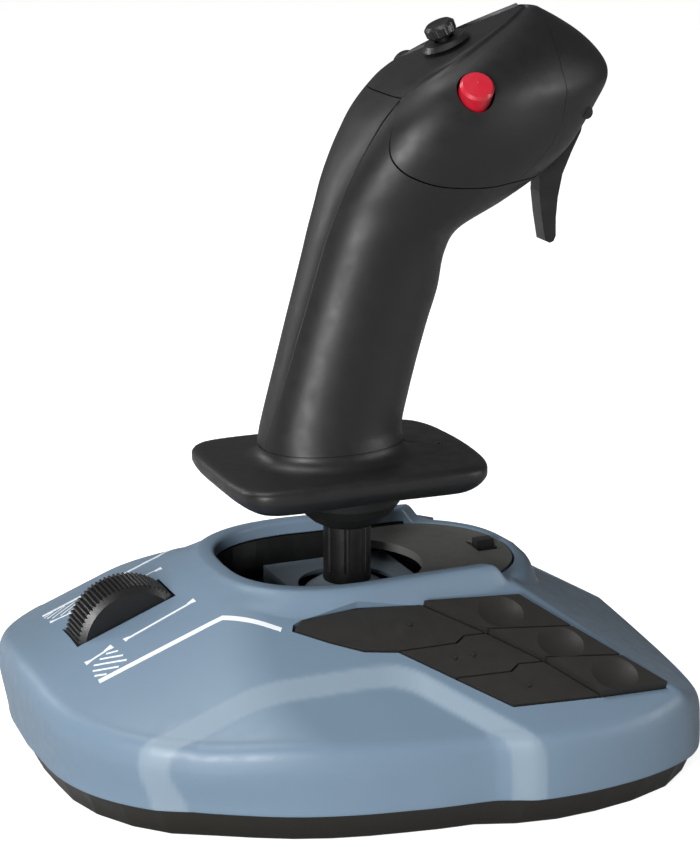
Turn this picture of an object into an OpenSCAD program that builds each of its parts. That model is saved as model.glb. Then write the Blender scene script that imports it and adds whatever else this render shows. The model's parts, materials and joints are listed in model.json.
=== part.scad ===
// Flight joystick: a two-axis gimbal with a twisting grip, a lever and twelve base buttons.
// Origin: on the table under the stick pivot. +Y is away from the user, +Z is up.

/* [Base] */
// Width scale of the base outline
base_w_scale = 1; // [0.98:0.01:1.04]
// Height of the ring crest above the table
crest_z = 58.5; // [57:0.5:60]
// Wall thickness of the moulded base
base_wall = 2.4; // [2:0.1:3]

/* [Stick] */
// Diameter of the stick shaft
shaft_d = 14.5; // [13:0.5:15]
// Height of the gimbal pivot
pivot_z = 30; // [29:0.5:31]
// Wall thickness of the grip mouldings
grip_wall = 2.4; // [2:0.1:3]
// Height of the hand rest underside
rest_z = 80; // [79.5:0.1:80.2]

/* [Controls] */
// Radius of the lever wheel
lever_r = 17.4; // [17:0.1:17.8]
// Half thickness of the lever wheel
lever_hw = 7.1; // [6.8:0.1:7.4]
// Diameter of the thumb buttons
thumb_d = 10; // [9:0.5:10.5]
// Gap between neighbouring button caps
cap_gap = 0.6; // [0.5:0.1:0.9]

/* [Hidden] */
$fn = 48;
fit = 0.04;
pin_r = 3;
axle_r = 2;
panel_tilt = 23.27;
panel_top = 67.5;
lever_y = -69.8;
lever_z = 40.1;
slope_user = 21.2;
tray_top = 9.7;
eps = 0.01;
sides = [-1, 1];

shell_col = [0.25, 0.35, 0.46];
dark_col = [0.035, 0.035, 0.036];
panel_col = [0.05, 0.05, 0.052];
tray_col = [0.02, 0.02, 0.02];
red_col = [0.62, 0.02, 0.05];
pale_col = [0.34, 0.45, 0.55];
steel_col = [0.6, 0.6, 0.62];
board_col = [0.03, 0.18, 0.08];

// ---------- helpers ----------
function mirror_side(p) = [-p[0], p[1]];

// Smooth cubic look-up: column 0 is the key, the rest of each row is interpolated.
function row_i(t, v, i = 0) = i >= len(t) - 2 || v < t[i + 1][0] ? i : row_i(t, v, i + 1);
function slope_at(t, i, k) =
    let (a = max(i - 1, 0), b = min(i + 1, len(t) - 1))
    (t[b][k] - t[a][k]) / (t[b][0] - t[a][0]);
function tab(t, v, k) =
    let (x = min(max(v, t[0][0]), t[len(t) - 1][0]), i = row_i(t, x),
        h = t[i + 1][0] - t[i][0], s = (x - t[i][0]) / h)
    t[i][k] * (2 * s ^ 3 - 3 * s ^ 2 + 1) + slope_at(t, i, k) * h * (s ^ 3 - 2 * s ^ 2 + s)
    + t[i + 1][k] * (3 * s ^ 2 - 2 * s ^ 3) + slope_at(t, i + 1, k) * h * (s ^ 3 - s ^ 2);

// Distance from the origin to a half outline that runs from -Y round +X to +Y.
function ang(p) = atan2(p[0], -p[1]);
function seg_i(poly, a, i = 0) = i >= len(poly) - 2 || a < ang(poly[i + 1]) ? i : seg_i(poly, a, i + 1);
function reach(poly, a) =
    let (i = seg_i(poly, a), p = poly[i], q = poly[i + 1], d = [sin(a), -cos(a)],
        t = -(d[0] * p[1] - d[1] * p[0]) / (d[0] * (q[1] - p[1]) - d[1] * (q[0] - p[0])))
    norm(p + t * (q - p));
// Corner cutting keeps both end points.
function soften(p, n = 2) = n == 0 ? p : soften(concat([p[0]],
    [for (i = [0:len(p) - 2]) each [0.75 * p[i] + 0.25 * p[i + 1], 0.25 * p[i] + 0.75 * p[i + 1]]],
    [p[len(p) - 1]]), n - 1);

// Closed solid of revolution-like rings: the last ring joins the first one.
module ring_solid(rings) {
    n = len(rings[0]);
    m = len(rings);
    pts = [for (r = rings) each r];
    faces = [for (j = [0:m - 1]) for (i = [0:n - 1]) each
        let (a = j * n + i, b = j * n + (i + 1) % n, c = ((j + 1) % m) * n + (i + 1) % n,
            d = ((j + 1) % m) * n + i) [[a, c, b], [a, d, c]]];
    polyhedron(pts, faces);
}
// Stack of rings closed by a flat cap at each end, rings listed from bottom to top.
module stack_solid(rings) {
    n = len(rings[0]);
    m = len(rings);
    pts = [for (r = rings) each r];
    faces = concat([[for (i = [0:n - 1]) i]], [[for (i = [0:n - 1]) m * n - 1 - i]],
        [for (j = [0:m - 2]) for (i = [0:n - 1]) each
            let (a = j * n + i, b = j * n + (i + 1) % n, c = (j + 1) * n + (i + 1) % n,
                d = (j + 1) * n + i) [[a, c, b], [a, d, c]]]);
    polyhedron(pts, faces);
}
// Patch with thickness: outer and inner are grids of the same size.
module patch_solid(outer, inner) {
    m = len(outer);
    n = len(outer[0]);
    k = m * n;
    pts = concat([for (r = outer) each r], [for (r = inner) each r]);
    function id(j, i) = j * n + i;
    faces = concat(
        [for (j = [0:m - 2]) for (i = [0:n - 2]) each
            [[id(j, i), id(j + 1, i + 1), id(j, i + 1)], [id(j, i), id(j + 1, i), id(j + 1, i + 1)],
            [k + id(j, i), k + id(j, i + 1), k + id(j + 1, i + 1)],
            [k + id(j, i), k + id(j + 1, i + 1), k + id(j + 1, i)]]],
        [for (i = [0:n - 2]) each
            [[id(0, i), id(0, i + 1), k + id(0, i + 1)], [id(0, i), k + id(0, i + 1), k + id(0, i)],
            [id(m - 1, i), k + id(m - 1, i + 1), id(m - 1, i + 1)],
            [id(m - 1, i), k + id(m - 1, i), k + id(m - 1, i + 1)]]],
        [for (j = [0:m - 2]) each
            [[id(j, 0), k + id(j, 0), k + id(j + 1, 0)], [id(j, 0), k + id(j + 1, 0), id(j + 1, 0)],
            [id(j, n - 1), k + id(j + 1, n - 1), k + id(j, n - 1)],
            [id(j, n - 1), id(j + 1, n - 1), k + id(j + 1, n - 1)]]]);
    polyhedron(pts, faces);
}

// ---------- base shape ----------
skirt = soften([[0, -104.5], [33, -103], [57, -88.8], [75.5, -62.5], [85, -37.5], [88.7, -8], [90, 11],
    [93.5, 22], [93, 42], [88.5, 63], [78.5, 81], [58, 87.5], [25, 89.5], [0, 89.5]]);
lip = soften([[0, -39.5], [12, -39], [22, -33.5], [28.6, -23], [30.6, -10], [29.6, 2], [29, 16], [29, 33],
    [23, 43], [13, 50.5], [0, 52.5]]);
crest = soften([[0, -45], [14, -44], [25, -37.5], [32.5, -25.5], [34.8, -11], [33.8, 2], [33, 18], [33, 35],
    [26, 46], [15, 53.5], [0, 55]]);
foot = soften([[0, -53.5], [20, -51], [34, -39], [38.5, -20], [38, 0], [37, 20], [36, 35],
    [31, 46], [18, 57], [0, 60]]);
facet_edge = [[56.7, -83.4], [57, -66], [57, -40], [57, -17], [59, -9], [66, 0.8], [78, 9.8], [90, 20.4]];
facet_from = 34.2;
facet_to = 102.8;
facet_sink = 2.4;
facet_band = 6;
steps = 100;

function main_z(x, y) = min(75.7 + 0.387 * y - 0.004 * x * x, panel_top - 0.43 * abs(x),
    78.5 - 0.095 * abs(x) - 0.558 * y);
function half(a) = a <= 180 ? a : 360 - a;
function at(r, a) = [r * sin(a) * base_w_scale, -r * cos(a)];
function skirt_r(s) = reach(skirt, s);
function in_facet(s) = s > facet_from - eps && s < facet_to + eps;
// How far the corner facet lies below the main surface, ramping over the bevel band.
function sink_at(x, y) =
    facet_sink * min(max(min(x - 57, 0.632 * (x - 66) - 0.774 * (y - 0.8)) / facet_band, 0), 1);
function sunk(r, s) = let (p = at(r, s)) main_z(p[0], p[1]) - sink_at(p[0], p[1]);
// The wall leans inwards below the rim on the user's side.
function skirt_low(s) = skirt_r(s) - 2.8 * min(max((85 - s) / 35, 0), 1);
function wall_in(s) = let (p = at(skirt_r(s) - 5, s)) 0.7 * sink_at(p[0], p[1]);
function band_r(s) = in_facet(s) ? min(reach(facet_edge, s), skirt_r(s) - 14)
    : reach(foot, s) + 0.55 * (skirt_r(s) - 9 - reach(foot, s));
// Arms of the ring stop at the front, where the deck lies lower.
function crest_h(s) = s < 135 ? crest_z : s < 139 ? 56.5 : 53.4;
function lip_low(s) = s < 139 ? 54 : 50.6;
function z_main(r, s) = let (p = at(r, s)) main_z(p[0], p[1]);
function shoulder_z(s) = sunk(skirt_r(s) - 5, s);
// Radius and height of each outer ring, from the skirt edge up to the inner lip.
function cover_out(s) = let (R = skirt_r(s) - wall_in(s), f = reach(foot, s), b = band_r(s),
    c = reach(crest, s), l = reach(lip, s), z5 = shoulder_z(s))
    [[skirt_low(s) - wall_in(s), 10], [R - 0.2, z5 - 8], [R - 0.9, z5 - 4], [R - 2.4, z5 - 1.5], [R - 5, z5],
    [b + 7, sunk(b + 7, s)], [b, z_main(b, s)], [(b + f) / 2, z_main((b + f) / 2, s)],
    [f, z_main(f, s)], [c + 1.2, max(crest_h(s) - 1.2, z_main(c + 1.2, s))], [c, crest_h(s)],
    [l + 1, crest_h(s)], [l, crest_h(s) - 0.8], [l, lip_low(s)]];
function cover_in(s) = let (R = skirt_r(s) - wall_in(s), f = reach(foot, s), b = band_r(s),
    c = reach(crest, s), l = reach(lip, s), z5 = shoulder_z(s), t = base_wall)
    [[l + t, lip_low(s)], [c, crest_h(s) - t - 0.4], [f - 0.5, z_main(f, s) - t - 0.2],
    [b - 0.5, z_main(b, s) - t - 0.4], [b + 6, sunk(b + 6, s) - t],
    [R - 6.5, z5 - t - 0.2], [R - t - 0.6, z5 - 8], [skirt_low(s) - wall_in(s) - t, 10]];
function cover_ring(j, inner) = [for (i = [0:steps - 1]) let (a = i * 360 / steps, s = half(a),
    q = (inner ? cover_in(s) : cover_out(s))[j], p = at(q[0], a)) [p[0], p[1], q[1]]];

module panel_frame(side)
    translate([0, 0, panel_top])
        rotate([0, side * panel_tilt, 0])
            children();
// Outline of the button field, seen square on, on the right side.
field = [[44.4, -33.5], [40.6, -29.5], [39, -12], [41.4, 7.4], [44.4, 37.6], [88.6, 66.2],
    [88, 45], [86.3, 18], [58.8, -6.2], [56.6, -16], [51.2, -24.5]];
flats = [[[44.4, -33.5], [40.6, -29.5], [39, -12], [41.4, 7.4], [56.8, 22], [56.5, 15.2], [59, 11.6],
        [58.8, -6.2], [56.6, -16], [51.2, -24.5]],
    [[58.8, -6.2], [59, 11.6], [56.5, 15.2], [56.8, 22], [71.3, 34.2], [70.7, 26.5], [73.2, 22.9],
        [72.5, 5.8]],
    [[72.5, 5.8], [73.2, 22.9], [70.7, 26.5], [71.3, 34.2], [88, 45], [86.3, 18]]];
dished = [[[41.4, 7.4], [44.4, 37.6], [60.6, 48], [56.8, 22]],
    [[56.8, 22], [60.6, 48], [75, 57.4], [71.3, 34.2]],
    [[71.3, 34.2], [75, 57.4], [88.6, 66.2], [88, 45]]];
dish_mid = [[50.8, 28.9], [66.8, 41.2], [81.8, 51.7]];
dot_mid = [[[48.9, 0.9]], [[64.6, 8.6], [64.6, 14.4]], [[79.6, 25.5]]];
stem_flat = [[49.5, -8], [65.5, 16], [80, 30]];

module base_cover() color(shell_col) {
    difference() {
        ring_solid(concat([for (j = [0:13]) cover_ring(j, false)], [for (j = [0:7]) cover_ring(j, true)]));
        for (side = sides)
            panel_frame(side)
                translate([0, 0, -9])
                    linear_extrude(15)
                        polygon([for (p = field) [side * p[0] * 1.004, p[1] * 1.004]]);
        translate([-lever_hw - 0.8, lever_y, lever_z])
            rotate([0, 90, 0])
                cylinder(r = lever_r + 0.6, h = 2 * lever_hw + 1.6);
        translate([0, 96, 16])
            rotate([90, 0, 0])
                cylinder(r = 5.3, h = 14);
    }
}

// ---------- tray and fixed pieces ----------
function tray_rings() = [for (q = [[-6.4, 0.7], [-5, 1.6], [-1.6, tray_top], [-base_wall - 0.4, tray_top],
    [-base_wall - 0.4, 13.5], [-base_wall - 2.2, 13.5], [-base_wall - 2.8, 11], [-11, 4.2]])
    [for (i = [0:2:steps - 1]) let (a = i * 360 / steps, p = at(skirt_low(half(a)) - wall_in(half(a)) + q[0], a))
        [p[0], p[1], q[1]]]];
boss_at = [[-62, -52], [62, -52], [-76, 44], [76, 44], [-28, -78], [28, -78]];

module base_tray() color(tray_col) {
    t = tray_rings();
    difference() {
        union() {
            stack_tray(t);
            for (p = boss_at)
                translate([p[0], p[1], 3])
                    cylinder(r = 3.6, h = 9);
        }
        for (p = boss_at)
            translate([p[0], p[1], 0])
                cylinder(r = 1.6, h = 14);
        translate([0, 96, 16])
            rotate([90, 0, 0])
                cylinder(r = 5.3, h = 14);
    }
}
// Open tray: outer skin from rings 0-4, inner skin from rings 5-7, both closed by a floor.
module stack_tray(t) {
    n = len(t[0]);
    m = len(t);
    pts = [for (r = t) each r];
    polyhedron(pts, concat([[for (i = [0:n - 1]) i]], [[for (i = [0:n - 1]) m * n - 1 - i]],
        [for (j = [0:m - 2]) for (i = [0:n - 1]) each
            let (a = j * n + i, b = j * n + (i + 1) % n, c = (j + 1) * n + (i + 1) % n,
                d = (j + 1) * n + i) [[a, c, b], [a, d, c]]]));
}
feet_at = [[-48, -70], [48, -70], [-72, 52], [72, 52], [0, 0]];
module rubber_feet() color(dark_col)
    for (p = feet_at)
        translate([p[0], p[1], 0])
            cylinder(r = 7, h = 0.68);

module tray_screws() color(steel_col)
    for (p = boss_at)
        translate([p[0], p[1], 1.55]) {
            cylinder(r = 1.5, h = 14);
            translate([0, 0, 10.5])
                cylinder(r = 2.8, h = 2.2);
        }

module ballast_plate() color(steel_col)
    translate([-40, 42, 4.3])
        cube([80, 26, 5]);

function liner_ring(off, z, zf) = [for (i = [0:2:steps - 1]) let (a = i * 360 / steps, s = half(a),
    p = at(reach(lip, s) + off, a)) [p[0], p[1], s < 139 ? z : min(z, zf)]];
module well_liner() color(tray_col)
    difference() {
        ring_solid([liner_ring(1.6, 40, 40), liner_ring(1.9, 53.6, 50.2), liner_ring(0.1, 53.6, 50.2),
            liner_ring(0, 41.6, 41.6),
            [for (i = [0:2:steps - 1]) let (p = at(19, i * 360 / steps)) [p[0], p[1], 41.6]],
            [for (i = [0:2:steps - 1]) let (p = at(19, i * 360 / steps)) [p[0], p[1], 40]]]);
    }

module gimbal_cover() color(pale_col)
    difference() {
        translate([-24.4, -18, 42])
            cube([48.8, 40, 5]);
        translate([-22.8, -16.4, 41])
            cube([45.6, 36.8, 4.3]);
        translate([0, 0, 41])
            cylinder(r1 = 19, r2 = 14.2, h = 7);
    }

module front_deck() color(panel_col)
    difference() {
        translate([0, 0, 50.6])
            linear_extrude(2.6)
                polygon(deck_outline());
        translate([0, 0, 49])
            cylinder(r = 23, h = 6);
        translate([-5.2, 41.7, 51.6])
            cube([10.4, 7.6, 3]);
    }
function deck_outline() = concat([for (s = [115:5:180]) at(reach(lip, s) - 0.35, s)],
    [for (s = [175:-5:115]) mirror_side(at(reach(lip, s) - 0.35, s))]);

module lock_slide() color(tray_col) {
    translate([-2.6, 42, 51.9])
        cube([5.2, 7, 1]);
    translate([-1.7, 42.6, 52.8])
        cube([3.4, 5.8, 2.6]);
}

module gimbal_frame() color(tray_col)
    difference() {
        translate([-33, -27, 4.3])
            cube([66, 54, 33.2]);
        translate([-27.2, -23.5, 3])
            cube([54.4, 47, 40]);
        translate([-40, -19, 3])
            cube([80, 38, 13]);
        translate([-40, 0, pivot_z])
            rotate([0, 90, 0])
                cylinder(r = pin_r + fit, h = 80);
    }
module gimbal_screws() color(steel_col)
    for (x = [-30, 30])
        for (y = [-21.5, 21.5])
            translate([x, y, 37.55])
                cylinder(r = 2.2, h = 1.6);

module pitch_cradle() color(panel_col) {
    difference() {
        translate([-26.2, -20, pivot_z - 4])
            cube([52.4, 40, 7.5]);
        translate([-21.4, -14.6, 20])
            cube([42.8, 29.2, 20]);
        translate([0, 30, pivot_z])
            rotate([90, 0, 0])
                cylinder(r = pin_r + fit, h = 60);
    }
    for (side = sides)
        translate([side * 26, 0, pivot_z])
            rotate([0, side * 90, 0])
                cylinder(r = pin_r, h = 6.8);
}
module roll_block() color(steel_col) {
    translate([-11, -14, pivot_z - 6])
        cube([22, 28, 9]);
    for (side = sides)
        translate([0, side * 13.9, pivot_z])
            rotate([-side * 90, 0, 0])
                cylinder(r = pin_r, h = 6);
}
module stick_shaft() color(tray_col) {
    difference() {
        translate([0, 0, pivot_z + 3.05])
            cylinder(d = shaft_d, h = 40.5);
        for (a = [22.5:45:359])
            rotate([0, 0, a])
                translate([shaft_d / 2 + 0.55, 0, 52])
                    cylinder(r = 1.1, h = 30);
    }
    translate([0, 0, 73])
        cylinder(r = 6, h = 25);
}
module dust_dome() color(pale_col)
    difference() {
        translate([0, 0, pivot_z])
            sphere(r = 20, $fn = 64);
        translate([0, 0, pivot_z])
            sphere(r = 18.6, $fn = 64);
        translate([0, 0, pivot_z - 40 + 8.8])
            cube([60, 60, 80 - 2 * eps], center = true);
        translate([0, 0, 40])
            cylinder(d = shaft_d + 0.02, h = 20);
    }
module bearing_cup() color(dark_col)
    translate([0, 0, 66.4])
        rotate_extrude()
            polygon([[7.27, 0], [8.4, 0.2], [11, 1.7], [14, 4.4], [16.2, 7.6], [17.4, 13.2], [14.6, 13.2],
                [13.2, 8.6], [10.4, 5.4], [7.27, 4.6]]);

// ---------- lever ----------
module lever_frame() translate([0, lever_y, lever_z]) rotate([slope_user, 0, 0]) children();
module lever_wheel() color(dark_col)
    lever_frame()
        rotate([0, 90, 0])
            difference() {
                union() {
                    translate([0, 0, -lever_hw])
                        linear_extrude(2 * lever_hw)
                            polygon(concat([for (i = [0:120]) let (a = 86 + i * 188 / 120,
                                r = lever_r - (i % 3 == 2 ? 0.8 : 0)) [r * cos(a), r * sin(a)]]));
                    translate([0, 0, -lever_hw])
                        cylinder(r = 5, h = 2 * lever_hw);
                }
                translate([0, 0, -20])
                    cylinder(r = axle_r + 0.05, h = 40);
                for (side = sides)
                    translate([0, 0, side * (lever_hw + 0.1)])
                        rotate([side > 0 ? 180 : 0, 0, 0])
                            difference() {
                                cylinder(r = 30, h = 1.3);
                                translate([0, 0, -1])
                                    cylinder(r1 = lever_r - 4.2, r2 = lever_r, h = 2.4);
                            }
            }
module lever_axle() color(steel_col)
    translate([-16, lever_y, lever_z])
        rotate([0, 90, 0])
            cylinder(r = axle_r, h = 32);
module lever_bracket() color(panel_col)
    for (side = sides)
        difference() {
            translate([side * 13.6 - 1.5, lever_y - 3.4, 4.3])
                cube([3, 10.4, 38.6]);
            translate([side * 13.6 - 4, lever_y, lever_z])
                rotate([0, 90, 0])
                    cylinder(r = axle_r + fit, h = 8);
        }
module lever_sensor() color(board_col)
    translate([16.2, lever_y, lever_z - 3.5])
        rotate([0, 90, 0])
            cylinder(r = 5.5, h = 3.5);

// ---------- base buttons ----------
module side_poly(pts, side) polygon([for (p = pts) [side * p[0], p[1]]]);
module button_frame(side) color(panel_col)
    panel_frame(side)
        difference() {
            translate([0, 0, -7.2])
                linear_extrude(3)
                    side_poly(field, side);
            for (p = concat(stem_flat, dish_mid))
                translate([side * p[0], p[1], -9])
                    cylinder(r = 3.05, h = 8);
        }
module button_frame_right() button_frame(1);
module button_frame_left() button_frame(-1);
module button_board(side) color(board_col)
    panel_frame(side)
        translate([0, 0, -13.6])
            union() {
                linear_extrude(1.6)
                    side_poly([[46, -18], [46, 30], [80, 50], [82, 22], [56, -4]], side);
                for (p = concat(stem_flat, dish_mid))
                    translate([side * p[0] - 3, p[1] - 3, 1.5])
                        cube([6, 6, 1.9]);
            }
module button_board_right() button_board(1);
module button_board_left() button_board(-1);
module cap_flat(k, side) color(panel_col)
    panel_frame(side) {
        translate([0, 0, -2.6])
            linear_extrude(3.2)
                offset(delta = -cap_gap / 2)
                    side_poly(flats[k], side);
        translate([side * stem_flat[k][0], stem_flat[k][1], -9])
            cylinder(r = 3, h = 6.6);
        for (p = dot_mid[k])
            translate([side * p[0], p[1], 0.4])
                cylinder(r = 0.8, h = 0.7, $fn = 16);
    }
module cap_dished(k, side) color(panel_col)
    panel_frame(side)
        difference() {
            union() {
                translate([0, 0, -2.6])
                    linear_extrude(5)
                        offset(delta = -cap_gap / 2)
                            side_poly(dished[k], side);
                translate([side * dish_mid[k][0], dish_mid[k][1], -9])
                    cylinder(r = 3, h = 6.6);
            }
            translate([side * dish_mid[k][0], dish_mid[k][1], 18.5])
                sphere(r = 17.5);
        }
module cap_right_1() cap_flat(0, 1);
module cap_right_2() cap_flat(1, 1);
module cap_right_3() cap_flat(2, 1);
module cap_right_4() cap_dished(0, 1);
module cap_right_5() cap_dished(1, 1);
module cap_right_6() cap_dished(2, 1);
module cap_left_1() cap_flat(0, -1);
module cap_left_2() cap_flat(1, -1);
module cap_left_3() cap_flat(2, -1);
module cap_left_4() cap_dished(0, -1);
module cap_left_5() cap_dished(1, -1);
module cap_left_6() cap_dished(2, -1);

board_screw_at = [[-25, 34], [-25, 58], [25, 34], [25, 58]];
module main_board() color(board_col) {
    difference() {
        translate([-28, 31, 12])
            cube([56, 30, 1.6]);
        for (p = board_screw_at)
            translate([p[0], p[1], 11])
                cylinder(r = 1.8, h = 4);
    }
    translate([-8, 40, 13.5])
        cube([14, 14, 2]);
}
module board_screws() color(steel_col)
    for (p = board_screw_at)
        translate([p[0], p[1], 9.4]) {
            cylinder(r = 1.5, h = 4.4);
            translate([0, 0, 4.3])
                cylinder(r = 2.6, h = 1.4);
        }
module cord_gland() color(tray_col)
    translate([0, 94, 16])
        rotate([90, 0, 0])
            difference() {
                union() {
                    cylinder(r = 5, h = 12);
                    cylinder(r = 7, h = 3.4);
                }
                translate([0, 0, -1])
                    cylinder(r = 2.5, h = 20);
            }

// ---------- grip ----------
// Height, rear edge, front edge, half width, taper to the front, rear and front squareness
grip_rows = [
    [92.6, -27.5, 17, 17.5, 0.1, 0.9, 0.9], [97, -27, 16.5, 16.8, 0.1, 0.9, 0.9],
    [106, -24.8, 18.5, 16.4, 0.1, 0.9, 0.9], [117, -21.8, 21.4, 16.5, 0.12, 0.9, 0.9],
    [128, -18.8, 24.6, 16.8, 0.12, 0.9, 0.9], [138, -16, 27.8, 17.2, 0.12, 0.9, 0.9],
    [149, -12.8, 29.9, 18, 0.1, 0.88, 0.9], [156, -10.8, 34.6, 19, 0.12, 0.86, 0.9],
    [163, -8.6, 49, 21, 0.2, 0.84, 0.9], [170, -6.2, 61.3, 23.6, 0.3, 0.82, 0.9],
    [177, -3, 70, 25.8, 0.38, 0.8, 0.88], [183, 0.4, 74.6, 27, 0.42, 0.76, 0.85],
    [190, 5, 78.9, 27.4, 0.45, 0.7, 0.8], [196.5, 11, 82.4, 26.5, 0.45, 0.62, 0.78],
    [201, 16.5, 82.3, 24.4, 0.45, 0.55, 0.76], [206, 26.5, 78.8, 20.6, 0.42, 0.5, 0.75],
    [211, 37.5, 73.2, 15.6, 0.36, 0.5, 0.75], [215.5, 48, 66.2, 9.8, 0.25, 0.5, 0.8],
    [218.8, 55.2, 60, 4.2, 0.1, 0.6, 0.9]];
seam_low = [[0, 196.5], [13, 196], [23, 190], [29, 184.5], [35, 180.6], [45, 177], [56, 174.4],
    [72, 171.8], [90, 170.3], [109, 169.6], [124, 170], [180, 170]];
seam_front = [[169, 124], [184, 126], [195, 115], [203, 107], [216, 100]];
spine_half = [[92, 8], [108, 15], [136, 20], [156, 20], [180, 17], [197, 14]];
plate_half = [[196, 14], [200, 18], [206, 23], [216, 24]];

function sec(z, a, t = 0) =
    let (yb = tab(grip_rows, z, 1) + t, yf = tab(grip_rows, z, 2) - t, w = tab(grip_rows, z, 3) - t,
        k = tab(grip_rows, z, 4), s = (1 - cos(a)) / 2, c = sin(a),
        p = tab(grip_rows, z, 5) * (1 - s) + tab(grip_rows, z, 6) * s)
    [sign(c) * max(w, 0.5) * pow(abs(c), p) * (1 - k * s) / (1 - k * 0.3), yb + (yf - yb) * s,
        z - (t > 0 ? t * min(max((z - 190) / 12, 0), 1) : 0)];
// Patch of the grip surface from a grid of [side angle, height] pairs.
module patch_of(g) patch_solid([for (r = g) [for (q = r) sec(q[1], q[0])]],
    [for (r = g) [for (q = r) sec(q[1], q[0], grip_wall)]]);
function mix(a, b, t) = a + (b - a) * t;

function shell_grid() = [for (j = [0:20]) [for (i = [0:18])
    let (v = j / 20, zz = mix(92.8, 190, v), a0 = tab(spine_half, zz, 1) + 0.5,
        a = mix(a0, 179.7, i / 18), z1 = tab(seam_low, a, 1) - 0.25) [a, mix(92.8, z1, v)]]];
module trigger_slot()
    translate([-trigger_hw - 0.8, 54, 160])
        cube([2 * trigger_hw + 1.6, 22.5, 32]);
module grip_shell_right() color(dark_col)
    difference() {
        patch_of(shell_grid());
        trigger_slot();
    }
module grip_shell_left() color(dark_col)
    mirror([1, 0, 0])
        difference() {
            patch_of(shell_grid());
            trigger_slot();
        }
module grip_spine() color(dark_col)
    patch_of([for (j = [0:20]) [for (i = [0:6]) let (z = mix(92.8, 195.8, j / 20), h = tab(spine_half, z, 1))
        [mix(-h, h, i / 6), z]]]);
function module_grid() = [for (j = [0:12]) [for (i = [0:11])
    let (v = j / 12, a = mix(14.5, mix(125, 101, v), i / 11),
        z0 = tab(seam_low, a, 1) + 0.25, z = mix(z0, 215.6, v),
        b = mix(tab(plate_half, z, 1) + 0.5, tab(seam_front, z, 1) - 0.5, i / 11)) [b, z]]];
button_c = [23.1, 30.1, 198.1];
button_dir = [45, 8];
trigger_hw = 3;
module thumb_frame(side)
    mirror([side < 0 ? 1 : 0, 0, 0])
        translate(button_c)
            rotate([button_dir[1], button_dir[0], 0])
                children();
module head_module() difference() {
    patch_of(module_grid());
    thumb_frame(1)
        translate([0, 0, -14])
            cylinder(r = thumb_d / 2 + 0.6, h = 30);
}
module module_right() color(dark_col) head_module();
module module_left() color(dark_col)
    mirror([1, 0, 0])
        head_module();
module head_nose() color(dark_col)
    difference() {
        patch_of([for (j = [0:12]) [for (i = [0:12]) let (z = mix(170.2, 215.6, j / 12),
            h = tab(seam_front, z, 1) + 0.3) [mix(h, 360 - h, i / 12), z]]]);
        trigger_slot();
    }
module head_plate() color(dark_col)
    difference() {
        union() {
            patch_of([for (j = [0:8]) [for (i = [0:8]) let (z = mix(196.3, 216.3, j / 8), h = tab(plate_half, z, 1))
                [mix(-h, h, i / 8), z]]]);
            stack_solid([for (z = [215.9, 217, 218.2, 218.8]) [for (i = [0:31]) sec(z, i * 11.25)]]);
        }
        hat_frame()
            translate([0, 0, -20])
                cylinder(r = 4.4, h = 30);
    }
module hat_frame() translate([0, 31.5, 208.6]) rotate([24.5, 0, 0]) children();
module hat_collar() color(tray_col)
    hat_frame()
        difference() {
            union() {
                translate([0, 0, 0.9])
                    cylinder(r1 = 7.4, r2 = 6.2, h = 1.3);
                translate([0, 0, -6])
                    cylinder(r = 3.9, h = 8);
            }
            translate([0, 0, -7])
                cylinder(r = 3.1, h = 20);
        }
module hat_cap() color(tray_col)
    hat_frame() {
        translate([0, 0, -6])
            cylinder(r = 2, h = 10);
        difference() {
            translate([0, 0, 3.3])
                rotate_extrude()
                    polygon([[0, 0], [3.9, 0], [4.6, 0.9], [4.7, 3], [3.7, 3.9], [0, 3.4]]);
            for (a = [0:30:359])
                rotate([0, 0, a])
                    translate([5.1, 0, 3])
                        cylinder(r = 0.8, h = 6, $fn = 12);
        }
    }
module thumb_button(side) thumb_frame(side)
    rotate_extrude()
        polygon([[0, -7], [thumb_d / 2, -7], [thumb_d / 2, 2.7], [thumb_d / 2 - 0.7, 3.6], [0, 3.8]]);
module red_button() color(red_col) thumb_button(1);
module black_button() color(tray_col)
    thumb_frame(-1) {
        translate([0, 0, -7])
            cylinder(r = thumb_d / 2 - 0.4, h = 9);
        translate([0, 0, 2])
            difference() {
                sphere(r = thumb_d / 2 - 0.4);
                translate([0, 0, -10])
                    cube(20, center = true);
            }
    }
module trigger() color(tray_col)
    rotate([90, 0, 90])
        difference() {
            union() {
                translate([0, 0, -trigger_hw])
                    linear_extrude(2 * trigger_hw)
                        polygon([[75.6, 186.5], [74.6, 181], [71.6, 175], [68.7, 168.4], [67.3, 161.4], [66.8, 155.2],
                            [66.9, 149.6], [66.2, 148.1], [64.9, 147.6], [63.4, 148.3], [61.9, 156.5], [61, 163.6],
                            [61.2, 168.9], [62.6, 173.5], [66, 182], [68, 189]]);
                translate([72, 188, -trigger_hw])
                    cylinder(r = 4.4, h = 2 * trigger_hw);
            }
            translate([72, 188, -10])
                cylinder(r = axle_r + 0.05, h = 20);
        }
module trigger_pin() color(steel_col)
    translate([-11.4, 72, 188])
        rotate([0, 90, 0])
            cylinder(r = axle_r, h = 22.8);
module head_board() color(board_col)
    translate([-10, 36, 178])
        cube([20, 26, 1.6]);

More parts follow.
